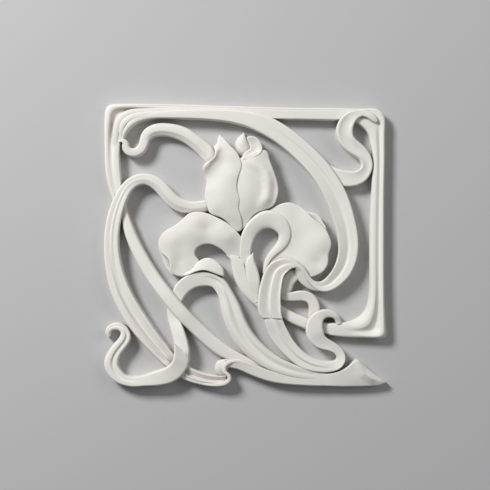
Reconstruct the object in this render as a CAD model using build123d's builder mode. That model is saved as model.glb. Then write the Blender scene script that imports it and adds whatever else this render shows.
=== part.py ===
# Openwork iris wall relief, cast in one piece with a flat back.
# X runs to the right of the ornament, Y to its top and Z out of its face; the back lies on Z = 0.
import os

from build123d import *

# Driving dimensions in millimetres
panel_width = 300.0  # overall, along X
panel_height = 300.0  # overall, along Y
tip_top = 9.0  # thin curled ends, above the back
under_top = 11.0  # a ribbon where it dives under another
low_top = 12.5  # a ribbon on its way down
frame_top = 13.0  # face of the square frame
lie_top = 14.0  # the thinner ribbons and leaves lying free
ribbon_top = 15.5  # the broad ribbons lying free
rise_top = 17.0  # a ribbon on its way up
over_top = 19.0  # a ribbon where it rides over another
fall_top = 18.0  # the drooping petals
standard_top = 22.0  # the upright petals
roll_top = 22.0  # the rolled lip of the upright petals
channel_depth = 2.0  # hollow along the middle of a ribbon
petal_drop = 6.0  # fall from a petal's crest to its rim
frame_chamfer = 2.0  # along the frame's edges

# The ornament is drawn on a square sheet of this side, with its origin in the middle.
sheet_side = 300.0
ribbon_scale = (panel_width * panel_height) ** 0.5 / sheet_side
narrow_channel = 0.12  # largest share of a ribbon's width that its hollow takes
narrow_drop = 0.3  # largest share of a petal's width that its fall takes
petal_shoulder = 0.6  # where a petal's shoulder stands, from its crest to its rim
shoulder_drop = 0.35  # share of its fall that lies above the shoulder


def spot(x, y):
    """A point of the sheet on the panel."""
    return Vector(x * panel_width / sheet_side, y * panel_height / sheet_side, 0)


def ribbon_section(width, top):
    half = width / 2
    dip = min(channel_depth, narrow_channel * width)
    return [(-half, 0), (-half, top), (0, top - dip), (half, top), (half, 0)]


def petal_section(width, top):
    half = width / 2
    drop = min(petal_drop, narrow_drop * width)
    shoulder = petal_shoulder * half
    shoulder_top = top - drop * shoulder_drop
    return [
        (-half, 0),
        (-half, top - drop),
        (-shoulder, shoulder_top),
        (0, top),
        (shoulder, shoulder_top),
        (half, top - drop),
        (half, 0),
    ]


def skin(outlines, marks):
    """A solid through like outlines, with straight rulings between the curves that join their corners.

    The curves share the marks along their length, so no face wavers the way a loft would here.
    """
    rails = [Edge.make_spline(list(corners), parameters=marks) for corners in zip(*outlines)]
    next_rails = rails[1:] + rails[:1]
    sides = [Face.make_surface_from_curves(rail, after) for rail, after in zip(rails, next_rails)]
    ends = [Face(Wire.make_polygon(outline)) for outline in (outlines[0], outlines[-1])]
    with BuildPart() as piece:
        add(Solid(Shell(sides + ends)))
    return piece.part


def band(stations, section):
    """A solid along a curve through the stations, each x, y, width and top height."""
    with BuildLine() as route:
        Spline(*[spot(x, y) for x, y, width, top in stations])
    curve = route.edges()[0]
    marks = [curve.param_at_point(spot(x, y)) for x, y, width, top in stations]
    outlines = []
    for mark, (x, y, width, top) in zip(marks, stations):
        along = curve.tangent_at(mark)
        plane = Plane(origin=spot(x, y), x_dir=Vector(-along.Y, along.X, 0), z_dir=along)
        corners = section(width * ribbon_scale, top)
        outlines.append([plane.from_local_coords(Vector(*corner)) for corner in corners])
    return skin(outlines, marks)


def petal(ribs):
    """A crested solid through level ribs, each two points of the outline and a top height."""
    starts = [spot(start_x, start_y) for start_x, start_y, end_x, end_y, top in ribs]
    ends = [spot(end_x, end_y) for start_x, start_y, end_x, end_y, top in ribs]
    facing = (starts[0] - ends[0]).cross(Vector(0, 0, 1)).normalized()
    reach = (starts[-1] - starts[0]).dot(facing)
    marks = [(start - starts[0]).dot(facing) / reach for start in starts]
    outlines = []
    for start, end, rib in zip(starts, ends, ribs):
        across = start - end
        plane = Plane(origin=(start + end) / 2, x_dir=across, z_dir=facing)
        corners = petal_section(across.length, rib[-1])
        outlines.append([plane.from_local_coords(Vector(*corner)) for corner in corners])
    return skin(outlines, marks)


# Square frame, open at its lower left, as corner points and the radius of each corner
frame_corners = [
    (-140, 44, 3),
    (-145.5, 62, 40),
    (-150, 95, 60),
    (-150, 150, 10),
    (-115, 150, 60),
    (60, 145, 200),
    (148.2, 144.5, 8),
    (147, 20, 200),
    (147, -45, 200),
    (150, -99, 5),
    (100, -97.6, 3),
    (100, -82, 3),
    (132, -81, 24),
    (132, 30, 200),
    (134.5, 133, 19),
    (30, 133.5, 60),
    (-60, 138, 60),
    (-118, 134, 20),
    (-131, 114, 20),
    (-133, 84, 40),
    (-128, 54, 3),
]

# The broad ribbon that leaves the frame's top, sweeps round to the right and ends in the loop
great_arc = [
    (-131, 110, 6, lie_top),
    (-124.5, 125, 8, lie_top),
    (-108, 135, 9, lie_top),
    (-80, 139, 9, ribbon_top),
    (-40, 138.5, 10.5, ribbon_top),
    (1.5, 133.3, 15.5, ribbon_top),
    (24, 125.3, 20, ribbon_top),
    (57.3, 101.7, 21.3, ribbon_top),
    (79, 79, 22.3, ribbon_top),
    (95.5, 52.3, 23.2, ribbon_top),
    (105.5, 23.2, 22, ribbon_top),
    (109, 0, 21, ribbon_top),
    (105.3, -21, 19.5, ribbon_top),
    (91.5, -39.2, 15.8, ribbon_top),
    (76.5, -44, 11.5, ribbon_top),
    (65.5, -36.5, 12, rise_top),
    (56, -25.5, 12, over_top),
    (44, -20, 15, over_top),
    (33, -26, 20, over_top),
    (27.6, -40, 22.3, over_top),
    (25.3, -55, 23.7, over_top),
    (25.3, -68, 24, over_top),
    (30, -78.5, 19.5, over_top),
]
loop_web = [
    (41, -56, 12, under_top),
    (42.5, -43, 16, under_top),
    (50, -32.5, 15.5, under_top),
    (61, -31, 9, under_top),
]
lower_whip = [
    (26, -66, 18, under_top),
    (29, -78, 19.5, ribbon_top),
    (34.5, -92.5, 20, ribbon_top),
    (47, -110, 17, ribbon_top),
    (61, -122.2, 15.8, ribbon_top),
    (78, -128.4, 12.8, ribbon_top),
    (91, -128.7, 11, ribbon_top),
    (98.8, -125.3, 9.6, ribbon_top),
    (101, -118, 9, ribbon_top),
    (96.3, -110.7, 9.3, ribbon_top),
    (88, -106, 11, ribbon_top),
    (79.5, -102, 15, rise_top),
    (73.5, -93, 18.5, over_top),
    (73.5, -83, 17, over_top),
    (79, -75, 12, rise_top),
    (87.5, -72.5, 8.5, ribbon_top),
    (96, -76, 6.7, ribbon_top),
    (99.7, -86, 5, ribbon_top),
]
frame_tail = [
    (112, -89.5, 13, under_top),
    (98, -89.7, 15.2, under_top),
    (84, -88.3, 12.5, under_top),
    (58, -81, 11.5, under_top),
    (26, -63, 11, under_top),
]
small_tendril = [
    (33, -53, 8, under_top),
    (46, -55, 9, low_top),
    (56, -54, 11.5, low_top),
    (65, -54.5, 12, low_top),
    (71.3, -59.5, 12, low_top),
    (73, -67, 12, low_top),
    (72.5, -77, 11.5, low_top),
]
upper_right_tendril = [
    (82, 79, 18, under_top),
    (97, 72, 17, low_top),
    (109, 70.2, 16.5, low_top),
    (121, 72.3, 14.5, lie_top),
    (128.8, 82.5, 11.5, lie_top),
    (126, 94, 12, ribbon_top),
    (118, 101.3, 14.5, ribbon_top),
    (108.7, 109, 16, rise_top),
    (104.8, 119, 17.5, rise_top),
    (107.5, 130, 16.3, rise_top),
    (117, 138.2, 10.3, rise_top),
    (127, 138.7, 6.5, rise_top),
    (138.5, 130.5, 2.5, ribbon_top),
]
upper_left_tendril = [
    (-25, 78, 15, under_top),
    (-40, 97, 16.5, under_top),
    (-53, 109, 15.2, lie_top),
    (-66, 117.5, 15, lie_top),
    (-82, 122, 13.8, lie_top),
    (-98, 120.8, 13, lie_top),
    (-105, 116, 11.5, lie_top),
    (-107.5, 109, 9, lie_top),
    (-110.3, 101.8, 9.5, lie_top),
    (-116, 98, 9.5, lie_top),
    (-122, 98.5, 9, lie_top),
    (-126, 102, 8, lie_top),
    (-129, 108, 5.5, ribbon_top),
    (-135.5, 109.7, 3, ribbon_top),
]
# The long sweep from under the bloom to the foot of the panel, where its end turns up
left_sweep = [
    (-26, 46, 13, under_top),
    (-42, 41.5, 12.5, under_top),
    (-57, 39.7, 12.5, lie_top),
    (-72, 43.5, 14.5, ribbon_top),
    (-82, 52, 14.5, ribbon_top),
    (-95, 65.5, 13.5, ribbon_top),
    (-109.5, 69.8, 11.5, ribbon_top),
    (-122, 64.5, 12, ribbon_top),
    (-132, 49.5, 13.5, ribbon_top),
    (-139, 28, 15.2, ribbon_top),
    (-141.8, 2.5, 15.7, ribbon_top),
    (-139, -26, 18, ribbon_top),
    (-131.3, -51, 21, ribbon_top),
    (-117, -77, 22, ribbon_top),
    (-95.8, -105, 18.5, ribbon_top),
    (-76, -125.7, 15.3, under_top),
    (-62, -136, 14.5, under_top),
    (-45, -142.2, 12.7, low_top),
    (-31, -144, 11.7, low_top),
    (-20, -142.7, 10, low_top),
]
blade = [
    (-21, -125.3, 9, lie_top),
    (-10, -126.2, 10, lie_top),
    (8, -132.3, 12, lie_top),
    (30, -139.5, 12, lie_top),
    (52, -141.7, 13.3, lie_top),
    (76, -142.4, 14.4, lie_top),
    (100, -142, 15.5, low_top),
]
stem = [
    (-131, 44, 7, under_top),
    (-125, 20, 10.8, low_top),
    (-113, -8.5, 13, lie_top),
    (-100.5, -30, 14, ribbon_top),
    (-80.5, -57, 14.5, over_top),
    (-69.5, -70, 14.5, over_top),
    (-50.5, -89.3, 14.5, ribbon_top),
    (-31, -106.8, 14.5, lie_top),
    (-17.5, -115.5, 13, lie_top),
    (0, -122.5, 9.5, low_top),
    (20, -131.5, 7, low_top),
]
leaf_loop = [
    (-145.5, -95, 3.5, tip_top),
    (-144.5, -89.3, 6, tip_top),
    (-137, -86.3, 7, under_top),
    (-129.3, -89.3, 9, low_top),
    (-127.3, -97.5, 11.5, lie_top),
    (-131.5, -104.5, 12, lie_top),
    (-139, -114.5, 12.8, lie_top),
    (-142.4, -125, 14.8, lie_top),
    (-138, -136.3, 13.8, lie_top),
    (-125, -144.2, 10.5, lie_top),
    (-110, -144, 11, lie_top),
    (-93.5, -141, 15.5, rise_top),
    (-76.5, -134.5, 17.5, over_top),
    (-67, -118, 17, over_top),
    (-70.5, -95, 14.2, ribbon_top),
    (-76.5, -72, 13, under_top),
    (-71.5, -52.5, 14.5, under_top),
    (-61.5, -41, 16, lie_top),
    (-45, -35.8, 16, lie_top),
    (-31, -39, 14.5, lie_top),
    (-23, -49, 15.5, ribbon_top),
    (-14.5, -71.5, 21.5, ribbon_top),
    (-4.5, -94, 22, ribbon_top),
    (10, -111.5, 21, ribbon_top),
    (27.5, -124, 18, ribbon_top),
    (50, -133, 14.5, ribbon_top),
    (84, -138.5, 10, low_top),
]
# Parts of the bloom that are ribbons too
strap = [
    (2, -30, 6, under_top),
    (0, -14, 12, low_top),
    (0, -4, 12.5, lie_top),
    (3, 10, 14.5, ribbon_top),
    (12, 22, 16.5, rise_top),
    (24, 27.2, 19, rise_top),
    (36, 22.5, 17.5, rise_top),
    (41.8, 12, 14, rise_top),
    (39.5, 2.3, 11.5, rise_top),
    (31, -7, 8, ribbon_top),
    (23.5, -17, 6.3, lie_top),
    (20.5, -30, 5, low_top),
]
lower_lip = [
    (-68, -27, 8, lie_top),
    (-58, -26, 9.5, ribbon_top),
    (-50, -22, 12.5, rise_top),
    (-42, -20.5, 15, rise_top),
    (-34, -22.8, 13, rise_top),
    (-27.5, -27.5, 10, rise_top),
    (-23.7, -35, 5, rise_top),
]
rolled_lip = [
    (4, 112.5, 3.5, standard_top),
    (9.5, 110.8, 7.5, roll_top),
    (12.7, 105, 9.3, roll_top),
    (10.5, 99, 9.8, roll_top),
    (4, 95.5, 8, roll_top),
    (-3, 93, 6, standard_top),
]
# Leaves of the bloom, crested where the ribbons are channelled
throat = [
    (-47, 17.5, 28, fall_top),
    (-36, 16, 30.5, fall_top),
    (-24, 11, 29, fall_top),
    (-12, 1.5, 25, rise_top),
    (-1, -8, 18, lie_top),
]
left_bract = [
    (-20.5, -10.5, 2, low_top),
    (-13.5, -13.5, 8, frame_top),
    (-8, -21.5, 14, frame_top),
    (-5, -32, 15, frame_top),
    (-0.5, -43, 14, frame_top),
    (17, -61, 14, under_top),
]
right_bract = [
    (8.2, -8.5, 1.5, lie_top),
    (5.5, -15, 8, ribbon_top),
    (6, -25, 12.5, ribbon_top),
    (8.5, -36, 14, ribbon_top),
    (14, -60, 9, low_top),
]

# Broad petals and turned ends, from one end to the other, as ribs from side to side
left_standard = [
    (-13, 12, -2, 12, lie_top),
    (-19, 19, -3, 19, rise_top),
    (-31, 28, -4.5, 28, over_top),
    (-38.5, 37, -6, 37, standard_top),
    (-42, 47, -6.7, 47, standard_top),
    (-42.6, 57, -7.8, 57, standard_top),
    (-42, 67, -8.8, 67, standard_top),
    (-44, 77, -6, 77, standard_top),
    (-42.3, 86, -5, 86, standard_top),
    (-36, 95, -7.5, 95, standard_top),
    (-31.8, 105, -16, 105, over_top),
    (-28.2, 116.3, -26.2, 116.3, rise_top),
]
right_standard = [
    (-8, 12, 2, 12, lie_top),
    (-10, 22, 7, 22, ribbon_top),
    (-12, 32, 16, 32, rise_top),
    (-13, 42, 30, 42, over_top),
    (-13.5, 52, 34, 52, over_top),
    (-13.5, 62, 34.5, 62, over_top),
    (-13, 72, 32, 72, over_top),
    (-12, 82, 29, 82, over_top),
    (-8, 92, 26, 92, over_top),
    (3, 101.5, 19.5, 101.5, rise_top),
]
back_petal = [
    (-9, 86, 2, 86, low_top),
    (-10, 95, 4, 95, lie_top),
    (-11.2, 104, 5, 104, ribbon_top),
    (-8.8, 112, 1.5, 112, ribbon_top),
    (-2.2, 119, -0.8, 119, lie_top),
]
left_fall = [
    (-57, 35.5, -37, 35.5, lie_top),
    (-66, 28, -29, 28, rise_top),
    (-78, 19, -27, 19, fall_top),
    (-88.5, 11.5, -28, 11.5, fall_top),
    (-91.8, 3.5, -36, 3.5, fall_top),
    (-91.5, -4.5, -52, -4.5, fall_top),
    (-89, -12.5, -53, -12.5, fall_top),
    (-86, -20.5, -51.5, -20.5, rise_top),
    (-81, -28, -56, -28, ribbon_top),
    (-73, -33.5, -64, -33.5, low_top),
]
right_fall = [
    (40, 44.3, 52, 44.3, low_top),
    (28, 38.5, 62, 38.5, lie_top),
    (28, 31, 77, 31, ribbon_top),
    (34, 22, 83.5, 22, ribbon_top),
    (36, 13, 86.7, 13, ribbon_top),
    (37, 4, 90, 4, ribbon_top),
    (35, -5, 89.5, -5, ribbon_top),
    (26, -14, 87.5, -14, ribbon_top),
    (38, -22.5, 85.3, -22.5, lie_top),
    (62, -30, 79, -30, low_top),
    (69, -34, 73, -34, under_top),
]
turned_end = [
    (-24.5, -148, -18.5, -148, under_top),
    (-27, -142.5, -14.8, -142.5, low_top),
    (-29, -137, -14.6, -137, lie_top),
    (-32.2, -131.5, -15, -131.5, lie_top),
    (-31.5, -126, -13, -126, lie_top),
    (-25, -121.3, -12, -121.3, low_top),
]
blade_tip = [
    (86, -149, 86, -136, lie_top),
    (95, -149.6, 95, -134.7, lie_top),
    (104, -150, 104, -131, lie_top),
    (112, -150, 112, -125, ribbon_top),
    (119, -150, 119, -121.8, ribbon_top),
    (126, -150, 126, -127, ribbon_top),
    (134, -149.5, 134, -134.3, lie_top),
    (142, -148.4, 142, -140.4, low_top),
    (149.8, -146.6, 149.8, -145.6, tip_top),
]

ribbons = [
    great_arc,
    loop_web,
    lower_whip,
    frame_tail,
    small_tendril,
    upper_right_tendril,
    upper_left_tendril,
    left_sweep,
    blade,
    stem,
    leaf_loop,
    strap,
    lower_lip,
    rolled_lip,
]
leaves = [throat, left_bract, right_bract]
petals = [
    left_standard,
    right_standard,
    back_petal,
    left_fall,
    right_fall,
    turned_end,
    blade_tip,
]

with BuildPart() as frame:
    with BuildSketch():
        with BuildLine():
            FilletPolyline(
                *[spot(x, y) for x, y, radius in frame_corners],
                radius=[radius for x, y, radius in frame_corners],
                close=True,
            )
        make_face()
    extrude(amount=frame_top)
    chamfer(frame.faces().sort_by(Axis.Z)[-1].edges(), frame_chamfer)

with BuildPart() as relief:
    add(frame.part)
    add([band(stations, ribbon_section) for stations in ribbons])
    add([band(stations, petal_section) for stations in leaves])
    add([petal(ribs) for ribs in petals])

middle = relief.part.bounding_box().center()
iris_relief = Pos(-middle.X, -middle.Y, 0) * relief.part
iris_relief.label = "iris_relief"
os.makedirs("parts", exist_ok=True)
export_step(iris_relief, "parts/iris_relief.step")
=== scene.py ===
import math

import bmesh
import bpy
import numpy as np
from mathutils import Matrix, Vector
from mathutils.geometry import delaunay_2d_cdt


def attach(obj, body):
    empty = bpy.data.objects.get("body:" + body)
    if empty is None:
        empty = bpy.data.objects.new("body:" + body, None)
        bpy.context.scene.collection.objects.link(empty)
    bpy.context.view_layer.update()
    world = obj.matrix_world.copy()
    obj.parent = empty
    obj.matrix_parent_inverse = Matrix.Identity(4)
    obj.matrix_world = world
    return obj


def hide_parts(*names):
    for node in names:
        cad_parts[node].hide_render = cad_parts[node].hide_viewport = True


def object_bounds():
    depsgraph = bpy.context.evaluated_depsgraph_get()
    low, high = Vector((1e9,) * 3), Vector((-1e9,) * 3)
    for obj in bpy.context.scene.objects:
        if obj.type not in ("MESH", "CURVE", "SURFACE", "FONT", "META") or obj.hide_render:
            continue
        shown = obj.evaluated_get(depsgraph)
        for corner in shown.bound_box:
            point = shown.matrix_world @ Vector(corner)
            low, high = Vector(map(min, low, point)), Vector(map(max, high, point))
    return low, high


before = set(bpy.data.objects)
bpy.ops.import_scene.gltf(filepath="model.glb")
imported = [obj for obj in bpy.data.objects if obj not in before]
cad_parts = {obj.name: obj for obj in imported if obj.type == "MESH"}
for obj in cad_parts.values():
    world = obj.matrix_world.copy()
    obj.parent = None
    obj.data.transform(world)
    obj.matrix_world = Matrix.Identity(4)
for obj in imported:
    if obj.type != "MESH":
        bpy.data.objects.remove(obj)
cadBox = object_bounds()
print("stage: frame loaded")

millimetre = 0.001
casting = {
    "node": "iris_relief",
    "slot": "plaster",
    "rowStep": 1.9,  # mm along a form between two rows of its mesh
    "fewestRows": 12,
    "lip": 1.3,  # mm, radius of a form's rounded rim
    "lipShare": 0.45,  # of the half width, the most that the lip takes of a narrow form
    "lowestTop": 2.0,  # mm above the back
    "skewReach": 20.0,  # mm from a slanted end to where the slant has faded
    "edgeShares": (0.0, 0.012, 0.04, 0.09, 0.16),  # of the half width, columns in from each rim
    "innerColumns": 23,
    "rimStep": 1.3,  # mm along a petal's rim between two points
    "rimWrap": 4,  # knots that a smooth closed rim runs on past its start
    "fewestOnSide": 2,  # points of a rim between two of its corners
    "rimProbe": 0.1,  # mm, step that tells the inner side of a rim
    "rimRows": (0.08, 0.35, 0.8, 1.3),  # of the lip, rows that round a petal's rim
    "rowShare": 0.85,  # of a row's inset, the least that its points keep from the rim
    "gridStep": 1.5,  # mm between the points inside a petal
    "gridInset": 1.7,  # of the lip, from the rim to the first of them
    "crestStep": 1.0,  # mm along a ridge between two points
    "crestClear": 0.9,  # mm from a ridge to the points beside it
    "weldReach": 1e-5,  # mm
    "leastGap": 1e-9,  # mm, keeps the logarithm finite at a knot
    "plateEase": 45.0,  # the larger, the further a petal's plate may pass by the heights inside its rim
    "sharpAngle": 38.0,  # degrees, steeper edges stay crisp
}
forms = []

# Sections as places across, 1 at the left rim along the form's run, and heights against its top in mm
plainSection = [(-1, -1.6), (-0.7, -0.35), (0, 0), (0.7, -0.35), (1, -1.6)]
flatSection = [(-1, -0.9), (-0.8, -0.1), (0, 0), (0.8, -0.1), (1, -0.9)]
hollowSection = [(-1, -0.5), (-0.8, 0), (-0.4, -1.2), (0, -1.7), (0.4, -1.2), (0.8, 0), (1, -0.5)]
arcSection = [(-1, -0.8), (-0.95, 0), (-0.9, 0.15), (-0.84, 0), (-0.4, -1.3), (0.04, -2.7), (0.1, -2),
              (0.16, -1.1), (0.5, -0.4), (0.88, 0.3), (0.95, 0.2), (1, -0.8)]
loopSection = [(-1, -0.8), (-0.95, 0), (-0.88, 0.1), (-0.5, -1), (-0.1, -2.3), (-0.05, -2.2), (0.03, -0.2),
               (0.1, 0), (0.4, -0.4), (0.75, -1.1), (0.84, -0.9), (0.92, 0.4), (0.97, 0.3), (1, -0.4)]
whipSection = [(-1, -1.1), (-0.9, -0.2), (-0.5, -0.6), (-0.15, -1), (0, -0.6), (0.12, 0.4), (0.2, 0.4),
               (0.5, -0.5), (0.8, -0.9), (0.9, -0.5), (0.96, -0.4), (1, -1)]
archSection = [(-1, -0.4), (-0.92, 0.2), (-0.8, -0.1), (-0.4, -0.9), (0, -1.1), (0.4, -0.9), (0.8, -0.1),
               (0.92, 0.2), (1, -0.5)]
turnSection = [(-1, -0.9), (-0.8, -0.3), (-0.2, -0.6), (0.25, -0.9), (0.5, 0.3), (0.62, 0.3), (0.85, -0.3),
               (1, -1.4)]
creaseSection = [(-1, -1.8), (-0.9, -1), (-0.4, -1.2), (-0.12, 0.2), (0, 0.3), (0.2, -0.4), (0.35, -0.7),
                 (0.5, -0.1), (0.75, 0), (1, -1.5)]
leafSection = [(-1, -3.6), (-0.92, -2.9), (-0.42, 0.2), (-0.3, 0.2), (0.02, -0.9), (0.2, -1.6), (0.4, -0.4),
               (0.6, 0.1), (0.85, 0), (1, -1.6)]
pairSection = [(-1, -1.8), (-0.8, -0.3), (-0.4, 0.2), (0, -1), (0.12, -1), (0.5, 0), (0.75, 0.1), (1, -1.6)]
strapSection = [(-1, -2.2), (-0.7, -1), (-0.2, -0.1), (0.3, 0.2), (0.7, 0), (1, -1.3)]
footSection = [(-1, -1.6), (-0.7, -0.2), (-0.25, 0.2), (-0.08, 0.1), (0.12, -1.2), (0.3, -1.4), (0.7, -0.9),
               (0.86, -1), (1, -1.9)]
risingSection = [(-1, -1.4), (-0.7, -0.2), (-0.1, 0.2), (0.15, 0.1), (0.25, -0.3), (0.7, -2.6), (0.9, -3.5),
                 (1, -4.2)]
sweepSection = [(-1, -1.4), (-0.8, -0.1), (-0.55, -0.1), (-0.3, -0.6), (0, 0.2), (0.28, -0.7), (0.55, -0.1),
                (0.8, 0), (1, -1.2)]
channelSection = [(-1, -1.5), (-0.9, -0.5), (-0.5, -0.2), (-0.34, 0.6), (-0.27, 0.5), (-0.14, -1.9),
                  (0.02, -3.1), (0.3, -2.1), (0.6, -0.7), (0.82, 0.1), (0.9, 0.1), (1, -1.1)]
tendrilSection = [(-1, -1.7), (-0.75, -0.3), (-0.2, 0.2), (0.2, 0.1), (0.3, -0.2), (0.6, -1.9), (0.9, -3.4),
                  (1, -4.2)]
leftBarSection = [(-1, -1), (-0.85, -0.1), (-0.4, 0.1), (0.12, -1.7), (0.6, 0.15), (0.8, 0.1), (1, -1.2)]
topBarSection = [(-1, -0.9), (-0.85, -0.1), (0, 0), (0.45, 0), (0.6, -0.5), (0.8, -0.1), (1, -1)]
rightBarSection = [(-1, -1.8), (-0.75, -0.8), (-0.4, 0), (-0.28, 0), (0, -1.2), (0.2, -1.9), (0.4, -1.2),
                   (0.62, 0.1), (0.78, 0.3), (1, -0.9)]


def curveThrough(marks, values, at):
    gaps = np.diff(marks)
    slopes = np.diff(values, axis=0) / gaps[:, None]
    count = len(marks)
    system = np.zeros((count, count))
    wanted = np.zeros((count, values.shape[1]))
    system[0, :2] = (2, 1)  # natural ends
    wanted[0] = 3 * slopes[0]
    system[-1, -2:] = (1, 2)
    wanted[-1] = 3 * slopes[-1]
    for i in range(1, count - 1):
        system[i, i - 1:i + 2] = (gaps[i], 2 * (gaps[i - 1] + gaps[i]), gaps[i - 1])
        wanted[i] = 3 * (gaps[i] * slopes[i - 1] + gaps[i - 1] * slopes[i])
    return hermite(marks, values, np.linalg.solve(system, wanted), at)


def easeThrough(marks, values, at):
    gaps = np.diff(marks)
    slopes = np.diff(values, axis=0) / gaps[:, None]
    tangents = np.zeros_like(values)
    before, after = slopes[:-1], slopes[1:]
    steady = before * after > 0  # no overshoot at a turning point
    total = np.where(steady, before + after, 1.0)
    tangents[1:-1] = np.where(steady, 2 * before * after / total, 0.0)
    return hermite(marks, values, tangents, at)


def hermite(marks, values, tangents, at):
    spot = np.clip(np.searchsorted(marks, at, side="right") - 1, 0, len(marks) - 2)
    gap = (marks[spot + 1] - marks[spot])[:, None]
    t = (at - marks[spot])[:, None] / gap
    start, end = values[spot], values[spot + 1]
    leave, arrive = tangents[spot] * gap, tangents[spot + 1] * gap
    return ((2 * t ** 3 - 3 * t ** 2 + 1) * start + (t ** 3 - 2 * t ** 2 + t) * leave
            + (3 * t ** 2 - 2 * t ** 3) * end + (t ** 3 - t ** 2) * arrive)


def chordMarks(points):
    return np.concatenate(([0.0], np.cumsum(np.linalg.norm(np.diff(points, axis=0), axis=1))))


def rowMarks(marks, step):
    return np.linspace(0, marks[-1], max(casting["fewestRows"], round(marks[-1] / step)))


def acrossColumns():
    rim = 1 - np.array(casting["edgeShares"])
    inner = np.linspace(-rim[-1], rim[-1], casting["innerColumns"] + 2)[1:-1]
    return np.concatenate((-rim, inner, rim[::-1]))


across = acrossColumns()


def shell(name, lefts, rights, heights):
    half = np.linalg.norm(lefts - rights, axis=1)[:, None] / 2
    radius = np.minimum(casting["lip"], casting["lipShare"] * half)
    inset = np.clip(radius - (1 - np.abs(across)) * half, 0, None)
    tops = heights - (radius - np.sqrt(np.maximum(radius ** 2 - inset ** 2, 0)))
    share = (across + 1) / 2
    flat = rights[:, None] * (1 - share)[None, :, None] + lefts[:, None] * share[None, :, None]
    rows, columns = tops.shape
    points = np.zeros((rows, columns + 2, 3))
    points[:, 1:-1, :2] = flat
    points[:, 1:-1, 2] = np.maximum(tops, casting["lowestTop"])
    points[:, 0, :2] = rights
    points[:, -1, :2] = lefts
    ring = columns + 2
    index = np.arange(rows * ring).reshape(rows, ring)
    nextColumn = np.roll(index, -1, axis=1)
    quads = np.stack((index[:-1], nextColumn[:-1], nextColumn[1:], index[1:]), axis=-1).reshape(-1, 4)
    faces = quads.tolist() + [index[0, ::-1].tolist(), index[-1].tolist()]
    meshPiece(name, points.reshape(-1, 3), faces)


def sectionHeights(section):
    marks = np.array([spot for spot, height in section], float)
    heights = np.array([[height] for spot, height in section])
    return easeThrough(marks, heights, across)[:, 0]


def sectionAlong(form, marks, at):  # changes evenly from one keyed station to the next
    keyMarks = [marks[station] for station, section in form["sections"]]
    keyed = np.array([sectionHeights(section) for station, section in form["sections"]])
    return np.stack([np.interp(at, keyMarks, column) for column in keyed.T], axis=1)


def ribbon(name, form):  # stations: x, y, width, top, relief, tilt
    stations = np.array(form["stations"], float)
    marks = chordMarks(stations[:, :2])
    at = rowMarks(marks, form.get("step", casting["rowStep"]))
    centre = curveThrough(marks, stations[:, :2], at)
    width, top, relief, tilt = easeThrough(marks, stations[:, 2:6], at).T
    along = np.gradient(centre, at, axis=0)
    along /= np.linalg.norm(along, axis=1)[:, None]
    side = np.stack((-along[:, 1], along[:, 0]), axis=1) * width[:, None] / 2
    slant = np.clip(1 - (at[-1] - at) / casting["skewReach"], 0, 1)[:, None] ** 2
    side += along * form.get("endSkew", 0) * slant
    heights = top[:, None] + relief[:, None] * sectionAlong(form, marks, at) + tilt[:, None] * across
    shell(name, centre + side, centre - side, heights)


def rail(name, form):  # stations: left x, left y, right x, right y, top, relief
    stations = np.array(form["stations"], float)
    marks = chordMarks((stations[:, :2] + stations[:, 2:4]) / 2)
    at = rowMarks(marks, casting["rowStep"])
    edges = curveThrough(marks, stations[:, :4], at)
    top, relief = easeThrough(marks, stations[:, 4:6], at).T
    heights = top[:, None] + relief[:, None] * sectionAlong(form, marks, at)
    shell(name, edges[:, :2], edges[:, 2:], heights)


def rimPoints(knots, step):
    corners = [i for i, knot in enumerate(knots) if len(knot) > 3]
    places = np.array([knot[:2] for knot in knots], float)
    if not corners:  # one smooth closed line
        wrap = casting["rimWrap"]
        wrapped = np.concatenate((places[-wrap:], places, places[:wrap + 1]))
        marks = chordMarks(wrapped)
        first, last = marks[wrap], marks[wrap + len(places)]
        at = np.linspace(first, last, round((last - first) / step), endpoint=False)
        return curveThrough(marks, wrapped, at)
    pieces = []
    for corner, following in zip(corners, corners[1:] + [corners[0] + len(places)]):
        run = places[np.arange(corner, following + 1) % len(places)]
        marks = chordMarks(run)
        at = np.linspace(0, marks[-1], max(casting["fewestOnSide"], round(marks[-1] / step)), endpoint=False)
        pieces.append(curveThrough(marks, run, at))
    return np.concatenate(pieces)


def inside(points, rim):
    after = np.roll(rim, -1, axis=0)
    crosses = (rim[:, 1] > points[:, None, 1]) != (after[:, 1] > points[:, None, 1])
    rise = np.where(after[:, 1] == rim[:, 1], 1.0, after[:, 1] - rim[:, 1])
    where = rim[:, 0] + (points[:, None, 1] - rim[:, 1]) * (after[:, 0] - rim[:, 0]) / rise
    return (crosses & (points[:, None, 0] < where)).sum(axis=1) % 2 == 1


def rimDistance(points, rim):
    along = np.roll(rim, -1, axis=0) - rim
    share = ((points[:, None] - rim) * along).sum(axis=2) / (along ** 2).sum(axis=1)
    nearest = rim + np.clip(share, 0, 1)[:, :, None] * along
    return np.linalg.norm(points[:, None] - nearest, axis=2).min(axis=1)


def plateHeights(form, points):  # smooth plate bent through the rim and near the heights inside it
    knots = form["outline"] + form["dome"]
    places = np.array([knot[:2] for knot in knots], float)
    values = np.array([knot[2] for knot in knots], float)
    count = len(places)
    plane = np.column_stack((np.ones(count), places))
    size = count + plane.shape[1]
    system = np.zeros((size, size))
    system[:count, :count] = bending(places, places)
    inner = np.arange(len(form["outline"]), count)
    system[inner, inner] += form.get("ease", casting["plateEase"])
    system[:count, count:] = plane
    system[count:, :count] = plane.T
    weights = np.linalg.solve(system, np.concatenate((values, np.zeros(size - count))))
    slope = np.column_stack((np.ones(len(points)), points)) @ weights[count:]
    return bending(points, places) @ weights[:count] + slope


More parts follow.
